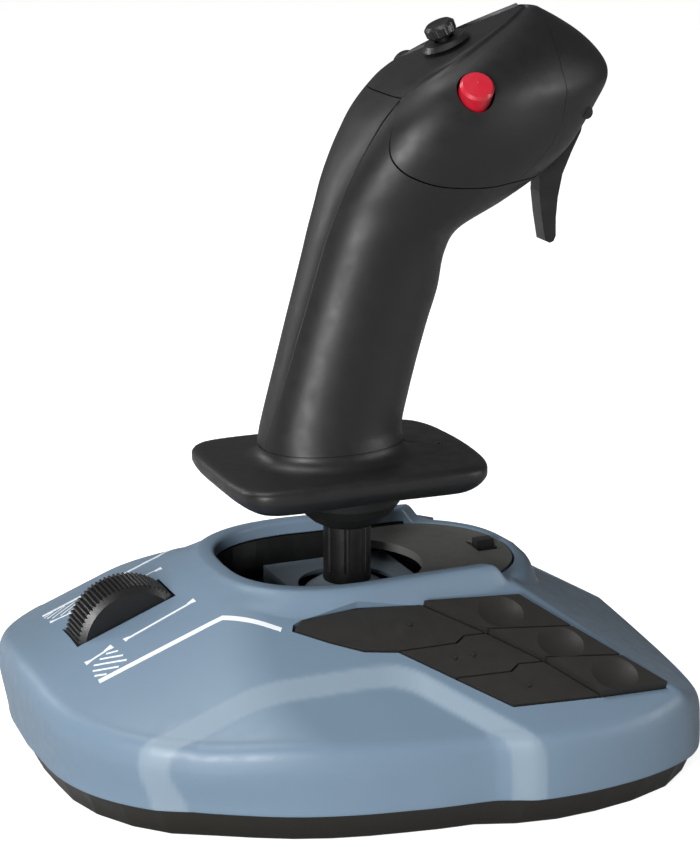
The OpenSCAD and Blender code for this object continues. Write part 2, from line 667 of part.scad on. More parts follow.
// ---------- hand rest ----------
rest_edge = soften([[0, -42.8], [18, -42.6], [28.8, -39.6], [31, -29], [30.8, -8], [30.7, 20], [29.8, 32],
    [21, 37], [8, 38.4], [0, 38.6]], 1);
function rest_ring(z, off) = [for (i = [0:71]) let (a = i * 5, r = reach(rest_edge, half(a)) + off)
    [r * sin(a), -r * cos(a), z]];
module hand_rest() color(dark_col)
    difference() {
        union() {
            stack_solid([rest_ring(rest_z, -4.4), rest_ring(rest_z + 0.8, -2.6), rest_ring(rest_z + 2.6, -0.8),
                rest_ring(rest_z + 4.4, 0), rest_ring(rest_z + 6.4, 0), rest_ring(rest_z + 7.7, -0.9),
                rest_ring(rest_z + 8.4, -2.8)]);
            stack_solid([[for (i = [0:35]) let (p = sec(93, i * 10, -4)) [p[0], p[1], 88]],
                [for (i = [0:35]) let (p = sec(93, i * 10, -3.4)) [p[0], p[1], 88.6]],
                [for (i = [0:35]) let (p = sec(93, i * 10, -1.2)) [p[0], p[1], 90.4]],
                [for (i = [0:35]) let (p = sec(93, i * 10)) [p[0], p[1], 92.6]]]);
        }
        translate([0, 0, 70])
            cylinder(r = 10.5, h = 40);
    }
module twist_bushing() color(steel_col)
    translate([0, 0, 80])
        difference() {
            cylinder(r = 10.45, h = 12);
            translate([0, 0, -1])
                cylinder(r = 6 + fit, h = 20);
        }
module twist_clip() color(steel_col)
    translate([0, 0, 92.9])
        difference() {
            cylinder(r = 8.5, h = 1.4);
            translate([0, 0, -1])
                cylinder(r = 6.02, h = 4);
        }

base_cover();
base_tray();
rubber_feet();
tray_screws();
ballast_plate();
well_liner();
gimbal_cover();
front_deck();
gimbal_frame();
gimbal_screws();
lever_bracket();
lever_axle();
lever_sensor();
button_frame_right();
button_frame_left();
button_board_right();
button_board_left();
main_board();
board_screws();
cord_gland();
pitch_cradle();
stick_shaft();
roll_block();
dust_dome();
bearing_cup();
hand_rest();
twist_bushing();
twist_clip();
grip_spine();
grip_shell_right();
grip_shell_left();
module_right();
module_left();
head_plate();
head_nose();
hat_collar();
hat_cap();
red_button();
black_button();
trigger();
trigger_pin();
lever_wheel();
lock_slide();
cap_right_1();
cap_right_2();
cap_right_3();
cap_right_4();
cap_right_5();
cap_right_6();
cap_left_1();
cap_left_2();
cap_left_3();
cap_left_4();
cap_left_5();
cap_left_6();
head_board();
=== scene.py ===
import json
import math
import bpy
import bmesh
import numpy as np
from mathutils import Matrix, Vector


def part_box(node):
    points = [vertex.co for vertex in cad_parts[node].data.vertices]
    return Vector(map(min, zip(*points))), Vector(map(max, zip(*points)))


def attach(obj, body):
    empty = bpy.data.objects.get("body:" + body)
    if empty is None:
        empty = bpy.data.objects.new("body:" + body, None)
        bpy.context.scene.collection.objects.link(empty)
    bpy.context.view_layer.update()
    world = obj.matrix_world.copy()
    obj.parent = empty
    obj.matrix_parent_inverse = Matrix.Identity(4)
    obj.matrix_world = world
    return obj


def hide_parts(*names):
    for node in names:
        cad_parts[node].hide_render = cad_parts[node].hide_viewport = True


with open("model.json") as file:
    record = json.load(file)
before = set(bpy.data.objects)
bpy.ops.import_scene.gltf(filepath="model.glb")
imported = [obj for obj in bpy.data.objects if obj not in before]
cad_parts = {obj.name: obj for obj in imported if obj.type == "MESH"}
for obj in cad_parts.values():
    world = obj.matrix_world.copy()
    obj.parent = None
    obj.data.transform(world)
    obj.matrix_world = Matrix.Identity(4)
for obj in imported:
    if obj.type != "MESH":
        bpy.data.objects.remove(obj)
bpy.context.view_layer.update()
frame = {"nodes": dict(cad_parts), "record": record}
nodes = frame["nodes"]
MM = 0.001


# ---------- curves and surfaces, in millimetres ----------
def table(rows, v, k):
    """Smooth cubic look-up of column k at key v."""
    v = min(max(v, rows[0][0]), rows[-1][0])
    i = 0
    while i < len(rows) - 2 and v >= rows[i + 1][0]:
        i += 1

    def slope(j):
        a, b = max(j - 1, 0), min(j + 1, len(rows) - 1)
        return (rows[b][k] - rows[a][k]) / (rows[b][0] - rows[a][0])

    h = rows[i + 1][0] - rows[i][0]
    s = (v - rows[i][0]) / h
    return (rows[i][k] * (2 * s**3 - 3 * s**2 + 1) + slope(i) * h * (s**3 - 2 * s**2 + s)
            + rows[i + 1][k] * (3 * s**2 - 2 * s**3) + slope(i + 1) * h * (s**3 - s**2))


def soften(p, n=3):
    for _ in range(n):
        q = [p[0]]
        for a, b in zip(p[:-1], p[1:]):
            q.append([0.75 * a[0] + 0.25 * b[0], 0.75 * a[1] + 0.25 * b[1]])
            q.append([0.25 * a[0] + 0.75 * b[0], 0.25 * a[1] + 0.75 * b[1]])
        p = q + [p[-1]]
    return p


def reach(poly, a):
    """Distance from the stick axis to a half outline that runs from -Y round +X to +Y."""
    s = math.radians(a)
    d = (math.sin(s), -math.cos(s))
    for i, (p, q) in enumerate(zip(poly[:-1], poly[1:])):
        if i == len(poly) - 2 or a < math.degrees(math.atan2(q[0], -q[1])):
            e = (q[0] - p[0], q[1] - p[1])
            t = -(d[0] * p[1] - d[1] * p[0]) / (d[0] * e[1] - d[1] * e[0])
            return math.hypot(p[0] + t * e[0], p[1] + t * e[1])


def ease(x, a, b):
    t = min(max((x - a) / (b - a), 0), 1)
    return t * t * (3 - 2 * t)


SKIRT = soften([[0, -104.5], [33, -103], [57, -88.8], [75.5, -62.5], [85, -37.5], [88.7, -8], [90, 11],
                [93.5, 22], [93, 42], [88.5, 63], [78.5, 81], [58, 87.5], [25, 89.5], [0, 89.5]])
LIP = soften([[0, -39.5], [12, -39], [22, -33.5], [28.6, -23], [30.6, -10], [29.6, 2], [29, 16], [29, 33],
              [23, 43], [13, 50.5], [0, 52.5]])
CREST = soften([[0, -45], [14, -44], [25, -37.5], [32.5, -25.5], [34.8, -11], [33.8, 2], [33, 18], [33, 35],
                [26, 46], [15, 53.5], [0, 55]])
FOOT = soften([[0, -53.5], [20, -51], [34, -39], [38.5, -20], [38, 0], [37, 20], [36, 35], [31, 46],
               [18, 57], [0, 60]])
REST = soften([[0, -42.8], [18, -42.6], [28.8, -39.6], [31, -29], [30.8, -8], [30.7, 20], [29.8, 32],
               [21, 37], [8, 38.4], [0, 38.6]], 2)
CREST_Z, WALL, PANEL_TOP, TILT = 58.5, 2.4, 67.5, math.radians(23.27)
SINK, BAND = 2.5, 6.0


def softmin(a, b, r):
    h = max(r - abs(a - b), 0) / r
    return min(a, b) - h * h * r / 4


def main_z(x, y):
    """Height of the base's top surface away from the ring and the corner facets."""
    z = softmin(75.7 + 0.387 * y - 0.004 * x * x, PANEL_TOP - 0.43 * abs(x), 3.5)
    return softmin(z, 78.5 - 0.095 * abs(x) - 0.558 * y, 1.0)


def facet_depth(x, y):
    """0 on the main surface, 1 on the corner facet, a straight ramp on the bevel band between."""
    x = abs(x)
    return min(max(softmin(x - 57, 0.632 * (x - 66) - 0.774 * (y - 0.8), 6) / BAND, 0), 1)


def crest_h(s):
    return CREST_Z - (CREST_Z - 53.3) * ease(s, 136, 141.5)


def cover_profile(s):
    """Outer profile from the skirt edge to the inner lip, then the inside back to the skirt."""
    a = math.radians(s)
    r_s, f, c, l = (reach(p, s) for p in (SKIRT, FOOT, CREST, LIP))

    def top(r):
        x, y = r * math.sin(a), -r * math.cos(a)
        return main_z(x, y) - SINK * facet_depth(x, y)

    step = facet_depth((r_s - 5) * math.sin(a), -(r_s - 5) * math.cos(a))
    r_s -= 1.8 * step
    low_r = r_s - 2.8 * min(max((85 - s) / 35, 0), 1)
    z5 = top(r_s - 5)
    low = 54 if s < 138 else 50.6
    h = crest_h(s)
    out = [(low_r - 0.3, 10), (low_r, 10.5), (low_r + 0.1 * (r_s - low_r), 14), (r_s - 0.2, z5 - 10),
           (r_s - 0.4, z5 - 6), (r_s - 1.1, z5 - 3), (r_s - 2.6, z5 - 1.1), (r_s - 5, z5)]
    count = 42
    for i in range(1, count):
        r = r_s - 5 + (f - r_s + 5) * i / count
        out.append((r, top(r)))
    e = max(h - 1.5, top(c + 1.6))
    out += [(f, top(f)), ((f + c + 1.6) / 2, (top(f) + e) / 2), (c + 1.6, e), (c + 0.5, max(h - 0.4, e)),
            (c - 0.6, h), (l + 1.6, h), (l + 0.6, h - 0.2), (l + 0.1, h - 0.8), (l, h - 1.6), (l, low + 0.3)]
    inside = [(l + 0.3, low), (l + 2.1, low), (l + WALL, low + 0.3), (c, max(h - WALL - 1.2, low + 0.3)),
              (f - 0.5, top(f) - WALL - 0.4), ((f + r_s) / 2, top((f + r_s) / 2) - WALL - 1.6),
              (r_s - 6.5, z5 - WALL - 0.4), (r_s - WALL - 0.6, z5 - 7.5), (low_r - WALL, 10.2)]
    return out, inside


def refine(points, per):
    """Rounds a profile by corner cutting, repeated per times."""
    p = [points[0]]
    for a, b in zip(points[:-1], points[1:]):
        p.append((a[0] * 0.72 + b[0] * 0.28, a[1] * 0.72 + b[1] * 0.28))
        p.append((a[0] * 0.28 + b[0] * 0.72, a[1] * 0.28 + b[1] * 0.72))
    p.append(points[-1])
    return p if per == 1 else refine(p, per - 1)


def mesh_object(name, verts, faces, smooth=True, scale=MM):
    me = bpy.data.meshes.new(name)
    me.from_pydata([tuple(float(c) * scale for c in v) for v in verts], [], faces)
    bm = bmesh.new()
    bm.from_mesh(me)
    bmesh.ops.recalc_face_normals(bm, faces=bm.faces)
    bm.to_mesh(me)
    bm.free()
    for p in me.polygons:
        p.use_smooth = smooth
    o = bpy.data.objects.new(name, me)
    bpy.context.scene.collection.objects.link(o)
    return o


def ring_mesh(name, rings):
    n, m = len(rings[0]), len(rings)
    verts = [p for r in rings for p in r]
    faces = [(j * n + i, j * n + (i + 1) % n, ((j + 1) % m) * n + (i + 1) % n, ((j + 1) % m) * n + i)
             for j in range(m) for i in range(n)]
    return mesh_object(name, verts, faces)


def sharp(o, angle=32):
    """Smooth shading that keeps hard edges, as a mesh attribute."""
    bm = bmesh.new()
    bm.from_mesh(o.data)
    for e in bm.edges:
        e.smooth = not (len(e.link_faces) == 2 and e.calc_face_angle(0) > math.radians(angle))
    for f in bm.faces:
        f.smooth = True
    bm.to_mesh(o.data)
    bm.free()
    return o


def bevel(o, width, segments=3, angle=35):
    b = o.modifiers.new("bevel", "BEVEL")
    b.width = width * MM
    b.segments = segments
    b.limit_method = "ANGLE"
    b.angle_limit = math.radians(angle)
    b.harden_normals = False
    w = o.modifiers.new("normals", "WEIGHTED_NORMAL")
    w.keep_sharp = True
    return o


def prism(name, pts, z0, z1, matrix=None):
    n = len(pts)
    verts = [(p[0], p[1], z0) for p in pts] + [(p[0], p[1], z1) for p in pts]
    faces = [tuple(range(n))[::-1], tuple(range(n, 2 * n))]
    faces += [(i, (i + 1) % n, n + (i + 1) % n, n + i) for i in range(n)]
    o = mesh_object(name, verts, faces, smooth=False)
    if matrix is not None:
        o.data.transform(matrix)
    return o


def round_outline(r, half):
    """2 * half points on a circle."""
    return [(r * math.cos(i * math.pi / half), r * math.sin(i * math.pi / half)) for i in range(2 * half)]


def cut(o, cutter):
    m = o.modifiers.new("cut", "BOOLEAN")
    m.operation, m.solver, m.object = "DIFFERENCE", "EXACT", cutter
    dg = bpy.context.evaluated_depsgraph_get()
    me = bpy.data.meshes.new_from_object(o.evaluated_get(dg))
    o.modifiers.clear()
    old, o.data = o.data, me
    bpy.data.meshes.remove(old)
    bpy.data.objects.remove(cutter)
    return o


# ---------- materials ----------
def material(name, color, rough=0.5, grain=2600, bump=0.12, mottle=0.06, spec=0.5, coat=0.0,
             metal=0.0, edge=None):
    """Moulded surface: broad mottling, uneven gloss and a fine grain. edge is a lighter colour painted on the bevel
    band as a highlight, standing in for the light the bevel catches.
    """
    m = bpy.data.materials.new(name)
    m.use_nodes = True
    nt = m.node_tree
    p = nt.nodes["Principled BSDF"]
    p.inputs["Metallic"].default_value = metal
    p.inputs["Specular IOR Level"].default_value = spec
    p.inputs["Coat Weight"].default_value = coat
    p.inputs["Coat Roughness"].default_value = 0.25
    co = nt.nodes.new("ShaderNodeTexCoord")

    def noise(scale, detail=3):
        n = nt.nodes.new("ShaderNodeTexNoise")
        n.inputs["Scale"].default_value = scale
        n.inputs["Detail"].default_value = detail
        nt.links.new(co.outputs["Object"], n.inputs["Vector"])
        return n

    def spread(n, lo, hi):
        r = nt.nodes.new("ShaderNodeMapRange")
        r.inputs["From Min"].default_value = 0.3
        r.inputs["From Max"].default_value = 0.7
        r.inputs["To Min"].default_value = lo
        r.inputs["To Max"].default_value = hi
        nt.links.new(n.outputs["Fac"], r.inputs["Value"])
        return r

    wide, mid, fine = noise(28, 4), noise(240, 4), noise(grain, 2)
    v = nt.nodes.new("ShaderNodeHueSaturation")
    v.inputs["Color"].default_value = (*color, 1)
    nt.links.new(spread(wide, 1 - mottle, 1 + mottle).outputs["Result"], v.inputs["Value"])
    last = v.outputs["Color"]
    # painted highlight: the bevel band is mixed towards the lighter edge colour, in place of the light it catches
    if edge:
        band_highlight_mask = nt.nodes.new("ShaderNodeAttribute")
        band_highlight_mask.attribute_name = "band"
        mix = nt.nodes.new("ShaderNodeMix")
        mix.data_type = "RGBA"
        mix.inputs["B"].default_value = (*edge, 1)
        nt.links.new(band_highlight_mask.outputs["Fac"], mix.inputs["Factor"])
        nt.links.new(last, mix.inputs["A"])
        last = mix.outputs["Result"]
    nt.links.new(last, p.inputs["Base Color"])
    nt.links.new(spread(mid, rough - 0.05, rough + 0.05).outputs["Result"], p.inputs["Roughness"])
    b = nt.nodes.new("ShaderNodeBump")
    b.inputs["Strength"].default_value = bump
    b.inputs["Distance"].default_value = 0.0002
    nt.links.new(fine.outputs["Fac"], b.inputs["Height"])
    nt.links.new(b.outputs["Normal"], p.inputs["Normal"])
    return m


MATS = {
    # the shell's edge colour is a painted highlight on the bevel band round the corner facets
    "shell": material("shell", (0.143, 0.208, 0.280), 0.46, 3200, 0.12, 0.025, 0.42,
                      edge=(0.205, 0.272, 0.338)),
    "pale": material("pale", (0.16, 0.2, 0.235), 0.5, 3000, 0.1, 0.02),
    "grip": material("grip", (0.0095, 0.0095, 0.0095), 0.44, 5200, 0.14, 0.08, 0.36),
    "black": material("black", (0.0085, 0.0085, 0.0085), 0.36, 4600, 0.14, 0.06, 0.42),
    "panel": material("panel", (0.019, 0.018, 0.0165), 0.46, 4200, 0.18, 0.05, 0.36),
    "tray": material("tray", (0.014, 0.013, 0.0105), 0.42, 3600, 0.18, 0.05, 0.36),
    "deck": material("deck", (0.105, 0.107, 0.098), 0.45, 4200, 0.18, 0.05, 0.45),
    "rubber": material("rubber", (0.02, 0.02, 0.02), 0.8, 2200, 0.3, 0.08, 0.3),
    "steel": material("steel", (0.55, 0.55, 0.56), 0.32, 1800, 0.1, 0.05, metal=1.0),
    "board": material("board", (0.02, 0.13, 0.06), 0.4, 1500, 0.1, 0.1, coat=0.3),
    "red": material("red", (0.48, 0.010, 0.026), 0.34, 3000, 0.06, 0.04, 0.5, coat=0.1),
    "ink": material("ink", (0.74, 0.78, 0.82), 0.5, 2600, 0.08, 0.02, 0.4),
}
SLOTS = {s["node"]: s["material_slot"] for s in frame["record"]["subparts"]}
for name, o in nodes.items():
    key = {"base_tray": "tray", "front_deck": "deck", "trigger_pin": "black"}.get(name, SLOTS[name])
    o.data.materials.clear()
    o.data.materials.append(MATS[key])
    shading = o.modifiers.new("normals", "WEIGHTED_NORMAL")
    shading.keep_sharp = True


def finish_piece(o, mat, body, *replaced):
    """Material, body and the CAD nodes that a visible piece stands in for."""
    o.data.materials.clear()
    o.data.materials.append(MATS[mat])
    if replaced:
        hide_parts(*replaced)
    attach(o, body)
    return o


# ---------- base cover ----------
STEP, OUTLET_R = 0.6, 5.3
angles = [i * STEP for i in range(int(360 / STEP))]
profiles = {}
for a in angles:
    s = round(a if a <= 180 else 360 - a, 4)
    if s not in profiles:
        out, inside = cover_profile(s)
        profiles[s] = refine(out[:8], 2) + out[8:48] + refine(out[48:], 2) + inside
rings = []
for j in range(len(profiles[0.0])):
    ring = []
    for a in angles:
        r, z = profiles[round(a if a <= 180 else 360 - a, 4)][j]
        t = math.radians(a)
        ring.append((r * math.sin(t), -r * math.cos(t), z))
    rings.append(ring)
cover = ring_mesh("cover", rings)
FIELD = [[44.4, -33.5], [41.9, -32.4], [40.4, -29.2], [39, -12], [41.4, 7.4], [44.4, 37.6], [88.6, 66.2],
         [88, 45], [86.3, 18], [58.8, -6.2], [56.6, -16], [51.2, -24.5]]


def panel_matrix(side):
    return Matrix.Translation((0, 0, PANEL_TOP * MM)) @ Matrix.Rotation(side * TILT, 4, "Y")


def grown(pts, d):
    """Outline moved outwards by d."""
    n, out = len(pts), []
    for i in range(n):
        a, b, c = Vector(pts[i - 1]), Vector(pts[i]), Vector(pts[(i + 1) % n])
        u, v = (b - a).normalized(), (c - b).normalized()
        nu, nv = Vector((u.y, -u.x)), Vector((v.y, -v.x))
        k = (nu + nv) / max(1 + nu.dot(nv), 0.3)
        out.append(b + k * d)
    area = sum(pts[i - 1][0] * pts[i][1] - pts[i][0] * pts[i - 1][1] for i in range(n))
    return out if area > 0 else grown(pts[::-1], d)


for side in (1, -1):
    pts = grown([[side * p[0], p[1]] for p in FIELD], 0.15)
    cut(cover, prism("field", pts, -9, 8, panel_matrix(side)))
lever = next(j for j in frame["record"]["behaviour"]["joints"] if j["name"] == "lever_turn")
lever_mid = Vector(lever["pos_m"])
lo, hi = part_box("lever_wheel")
lever_r = (hi.z - lever_mid.z) / MM
disc = round_outline(lever_r + 0.6, 48)
half_w = (hi.x - lo.x) / 2 / MM + 0.8
cut(cover, prism("slot", disc, -half_w, half_w,
                 Matrix.Translation(lever_mid) @ Matrix.Rotation(math.pi / 2, 4, "Y")))
glo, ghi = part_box("cord_gland")
cut(cover, prism("outlet", round_outline(OUTLET_R, 24), -96, -78,
                 Matrix.Translation((0, 0, (glo.z + ghi.z) / 2)) @ Matrix.Rotation(math.pi / 2, 4, "X")))
sharp(cover, 40)
# mask for the painted highlight: the bevel band between the main surface and the corner facet is drawn in the shell's
# lighter edge colour
band = cover.data.attributes.new("band", "FLOAT", "POINT")
for v in cover.data.vertices:
    d = facet_depth(v.co.x / MM, v.co.y / MM)
    band.data[v.index].value = ease(min(d, 1 - d), 0.0, 0.14)
finish_piece(cover, "shell", "base", "base_cover")


# ---------- printed marks ----------
def drape(name, lines, lift=0.14):
    """Thin printed bars laid on the base: each is (start, end, half width at start, half width at end)."""
    verts, faces = [], []
    for (x0, y0), (x1, y1), w0, w1 in lines:
        d = Vector((x1 - x0, y1 - y0)).normalized()
        n = Vector((-d.y, d.x))
        count = 10
        base = len(verts)
        for i in range(count + 1):
            t = i / count
            c = Vector((x0 + t * (x1 - x0), y0 + t * (y1 - y0)))
            w = w0 + t * (w1 - w0)
            for q, up in ((c - n * w, lift), (c + n * w, lift), (c + n * w, -0.3), (c - n * w, -0.3)):
                verts.append((q.x, q.y, main_z(q.x, q.y) + up))
        for i in range(count):
            for k in range(4):
                a, b = base + 4 * i + k, base + 4 * i + (k + 1) % 4
                faces.append((a, b, b + 4, a + 4))
        faces.append(tuple(base + k for k in range(4)))
        faces.append(tuple(base + 4 * count + k for k in range(4)))
    return mesh_object(name, verts, faces, smooth=False)


for side in (1, -1):
    bars = [((16.9, -75.9), (15.6, -54.6), 0.33, 0.33), ((16.9, -76.2), (16.6, -74.6), 0.95, 0.3),
            ((15.4, -56.4), (15.2, -54.2), 0.3, 1.0),
            ((18.2, -87.3), (17.0, -80.6), 0.33, 0.33), ((18.3, -88.4), (18.1, -86.4), 0.95, 0.3),
            ((17.1, -82.4), (16.6, -79.9), 0.3, 1.05),
            ((28.8, -87.7), (29.3, -50.4), 0.8, 0.8), ((29.0, -51.0), (39.6, -36.5), 0.8, 0.75),
            ((18.7, -82.4), (20.1, -79.2), 0.25, 0.25), ((19.6, -84.6), (23.2, -78.7), 0.25, 0.25),
            ((21.0, -86.8), (25.9, -78.5), 0.25, 0.25), ((23.2, -87.8), (27.0, -81.2), 0.25, 0.25),
            ((25.6, -88), (27.4, -85), 0.25, 0.25)]
    bars = [((side * a[0], a[1]), (side * b[0], b[1]), w0, w1) for a, b, w0, w1 in bars]
    marks = drape("marks_right" if side > 0 else "marks_left", bars)
    finish_piece(marks, "ink", "base")

# ---------- grip and head ----------
ROWS = [
    [92.6, -27.5, 17, 17.5, 0.1, 0.9, 0.9], [97, -27, 16.5, 16.8, 0.1, 0.9, 0.9],
    [106, -24.8, 18.5, 16.4, 0.1, 0.9, 0.9], [117, -21.8, 21.4, 16.5, 0.12, 0.9, 0.9],
    [128, -18.8, 24.6, 16.8, 0.12, 0.9, 0.9], [138, -16, 27.8, 17.2, 0.12, 0.9, 0.9],
    [149, -12.8, 29.9, 18, 0.1, 0.88, 0.9], [156, -10.8, 34.6, 19, 0.12, 0.86, 0.9],
    [163, -8.6, 49, 21, 0.2, 0.84, 0.9], [170, -6.2, 61.3, 23.6, 0.3, 0.82, 0.9],
    [177, -3, 70, 25.8, 0.38, 0.8, 0.88], [183, 0.4, 74.6, 27, 0.42, 0.76, 0.85],
    [190, 5, 78.9, 27.4, 0.45, 0.7, 0.8], [196.5, 11, 82.4, 26.5, 0.45, 0.62, 0.78],
    [201, 16.5, 82.3, 24.4, 0.45, 0.55, 0.76], [206, 26.5, 78.8, 20.6, 0.42, 0.5, 0.75],
    [211, 37.5, 73.2, 15.6, 0.36, 0.5, 0.75], [215.5, 48, 66.2, 9.8, 0.25, 0.5, 0.8],
    [218.8, 55.2, 60, 4.2, 0.1, 0.6, 0.9]]
SEAM_LOW = [[0, 196.5], [13, 196], [23, 190], [29, 184.5], [35, 180.6], [45, 177], [56, 174.4],
            [72, 171.8], [90, 170.3], [109, 169.6], [124, 170], [180, 170]]
SEAM_FRONT = [[169, 124], [184, 126], [195, 115], [203, 107], [216, 100], [219, 100]]
SPINE = [[92, 8], [108, 15], [136, 20], [156, 20], [180, 17], [197, 14]]
PLATE = [[196, 14], [200, 18], [206, 23], [216, 24], [219, 24]]
TIP = 218.75
# thumb buttons: centre on the right side, and how far they lean out and forward
BUTTON_AT, BUTTON_ROLL, BUTTON_PITCH, BUTTON_WELL_R = (23.1, 30.1, 198.1), math.radians(45), math.radians(8), 5.7
# hat: y and z of its centre, its lean, and the hole in the plate
HAT_AT, HAT_PITCH, HAT_HOLE_R = (31.5, 208.6), math.radians(24.5), 4.4


def section(z, a, t=0.0):
    """Point on the grip at height z and bearing a from its back, t inside the skin."""
    a = math.radians(a)
    c = [table(ROWS, z, k) for k in range(1, 7)]
    yb, yf, w = c[0] + t, c[1] - t, c[2] - t
    s = (1 - math.cos(a)) / 2
    p = c[4] * (1 - s) + c[5] * s
    x = math.copysign(1, math.sin(a)) * max(w, 0.5) * abs(math.sin(a)) ** p * (1 - c[3] * s) / (1 - c[3] * 0.3)
    y = yb + (yf - yb) * s
    if t == 0:
        d = abs(math.degrees(a) if a <= math.pi else math.degrees(a) - 360)
        edge = table(PLATE, z, 1)
        ridge = 0.75 * math.exp(-((d - edge - 1.2) / 2.6) ** 2) * ease(z, 199, 208)
        ridge -= 0.5 * math.exp(-((d - edge + 4) / 3) ** 2) * ease(z, 199, 208)
        y -= ridge * 0.45
        z += ridge
    return (x, y, z - (t * min(max((z - 190) / 12, 0), 1) if t > 0 else 0))


def patch(name, grid, wall=2.2):
    """Closed shell over a grid of (bearing, height) pairs."""
    m, n = len(grid), len(grid[0])
    outer = [section(z, a) for row in grid for a, z in row]
    inner = [section(z, a, wall) for row in grid for a, z in row]
    k = m * n
    faces = []
    for j in range(m - 1):
        for i in range(n - 1):
            q = (j * n + i, j * n + i + 1, (j + 1) * n + i + 1, (j + 1) * n + i)
            faces.append(q)
            faces.append(tuple(k + v for v in q[::-1]))
    for i in range(n - 1):
        for j in (0, m - 1):
            faces.append((j * n + i, j * n + i + 1, k + j * n + i + 1, k + j * n + i))
    for j in range(m - 1):
        for i in (0, n - 1):
            faces.append((j * n + i, (j + 1) * n + i, k + (j + 1) * n + i, k + j * n + i))
    return mesh_object(name, outer + inner, faces)


def mix(a, b, t):
    return a + (b - a) * t


def shell_grid(side, gap=0.18):
    """Half of the grip below the head seam."""
    rows = []
    for j in range(101):
        v = j / 100
        zz = mix(92.8, 190, v)
        a0 = table(SPINE, zz, 1) + gap * 1.1
        row = []
        for i in range(61):
            a = mix(a0, 180 - gap * 0.4, i / 60)
            row.append((side * a, mix(92.7, table(SEAM_LOW, a, 1) - gap, v)))
        rows.append(row)
    return rows


def module_grid(side, gap=0.18):
    """Side of the head, between the top plate and the nose."""
    rows = []
    for j in range(71):
        v = j / 70
        row = []
        for i in range(61):
            a = mix(14.3, mix(125, 101, v), i / 60)
            z = mix(table(SEAM_LOW, a, 1) + gap, TIP, v)
            row.append((side * mix(table(PLATE, z, 1) + 0.25, table(SEAM_FRONT, z, 1) - gap * 1.3, i / 60), z))
        rows.append(row)
    return rows


slot_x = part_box("trigger")[1].x / MM + 0.8
SLOT = [(-slot_x, 54), (slot_x, 54), (slot_x, 76.5), (-slot_x, 76.5)]
for side, tag in ((1, "right"), (-1, "left")):
    o = patch("grip_half_" + tag, shell_grid(side))
    cut(o, prism("slot", SLOT, 160, 192))
    sharp(o, 50)
    finish_piece(bevel(o, 0.35), "grip", "grip", "grip_shell_" + tag)
    o = patch("head_side_" + tag, module_grid(side))
    turn = Matrix.Rotation(side * BUTTON_ROLL, 4, "Y") @ Matrix.Rotation(BUTTON_PITCH, 4, "X")
    place = Matrix.Translation((side * BUTTON_AT[0] * MM, BUTTON_AT[1] * MM, BUTTON_AT[2] * MM)) @ turn
    cut(o, prism("well", round_outline(BUTTON_WELL_R, 32), -14, 16, place))
    sharp(o, 50)
    finish_piece(bevel(o, 0.35), "grip", "grip", "module_" + tag)
o = patch("grip_back", [[(mix(-1, 1, i / 24) * table(SPINE, mix(92.8, 195.9, j / 100), 1), mix(92.7, 195.9, j / 100))
                         for i in range(25)] for j in range(101)])
finish_piece(bevel(sharp(o, 50), 0.3), "grip", "grip", "grip_spine")
o = patch("head_front", [[(mix(table(SEAM_FRONT, z, 1) + 0.12, 360 - table(SEAM_FRONT, z, 1) - 0.12, i / 60), z)
                          for i in range(61)] for z in [mix(170.2, TIP, j / 60) for j in range(61)]])
cut(o, prism("slot", SLOT, 160, 192))
finish_piece(bevel(sharp(o, 50), 0.3), "grip", "grip", "head_nose")
o = patch("head_top", [[(mix(-1, 1, i / 40) * table(PLATE, z, 1), z) for i in range(41)]
                       for z in [mix(196.1, TIP, j / 80) for j in range(81)]])
hat_turn = Matrix.Translation((0, HAT_AT[0] * MM, HAT_AT[1] * MM)) @ Matrix.Rotation(HAT_PITCH, 4, "X")
cut(o, prism("hole", round_outline(HAT_HOLE_R, 24), -20, 10, hat_turn))
finish_piece(bevel(sharp(o, 50), 0.3), "grip", "grip", "head_plate")

# ---------- hand rest: one smooth skin from the flange into the foot of the grip ----------
count, REST_HOLE_R = 240, 10.5
rest_rings = []


def rest_ring(z, off):
    ring = []
    for i in range(count):
        a = i * 360 / count
        r = reach(REST, a if a <= 180 else 360 - a) + off
        ring.append(Vector((r * math.sin(math.radians(a)), -r * math.cos(math.radians(a)), z)))
    return ring


def grip_ring(z, off):
    """Ring of the grip's foot, taken on the same bearings as the flange."""
    pts = [Vector(section(max(z, 92.6), a, -off))[:2] for a in np.arange(0, 360, 1.0)]
    bearings = [math.degrees(math.atan2(p[0], -p[1])) % 360 for p in pts]
    radii = [math.hypot(*p) for p in pts]
    order = np.argsort(bearings)
    b = np.array(bearings)[order]
    r = np.array(radii)[order]
    b = np.concatenate([b - 360, b, b + 360])
    r = np.concatenate([r, r, r])
    ring = []
    for i in range(count):
        a = i * 360 / count
        q = float(np.interp(a, b, r))
        ring.append(Vector((q * math.sin(math.radians(a)), -q * math.cos(math.radians(a)), z)))
    return ring


circle = [Vector((REST_HOLE_R * math.sin(math.radians(i * 360 / count)),
                  -REST_HOLE_R * math.cos(math.radians(i * 360 / count)), 0)) for i in range(count)]
rest_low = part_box("hand_rest")[0].z / MM
rest_rings.append([v + Vector((0, 0, rest_low)) for v in circle])
for z, off in ((rest_low, -6), (rest_low + 0.15, -4.4), (80.8, -3.2), (81.6, -2.1), (82.6, -1.1), (83.6, -0.4),
               (84.4, 0), (85.6, 0), (86.3, 0), (86.9, -0.2), (87.5, -0.7), (87.95, -1.5), (88.25, -2.6), (88.4, -4)):
    rest_rings.append(rest_ring(z, off))
for k in range(1, 14):
    a = math.radians(90 * k / 13)
    flat = grip_ring(92.6, 5.2 * (1 - math.sin(a)))
    z = 92.6 - 4.2 * math.cos(a)
    rest_rings.append([Vector((v.x, v.y, z)) for v in flat])
rest_rings.append([Vector((v.x * 0.86, v.y * 0.88, 92.6)) for v in rest_rings[-1]])
rest_rings.append([v + Vector((0, 0, 91)) for v in circle])
o = ring_mesh("flange", [[tuple(v) for v in r] for r in rest_rings])
sharp(o, 50)
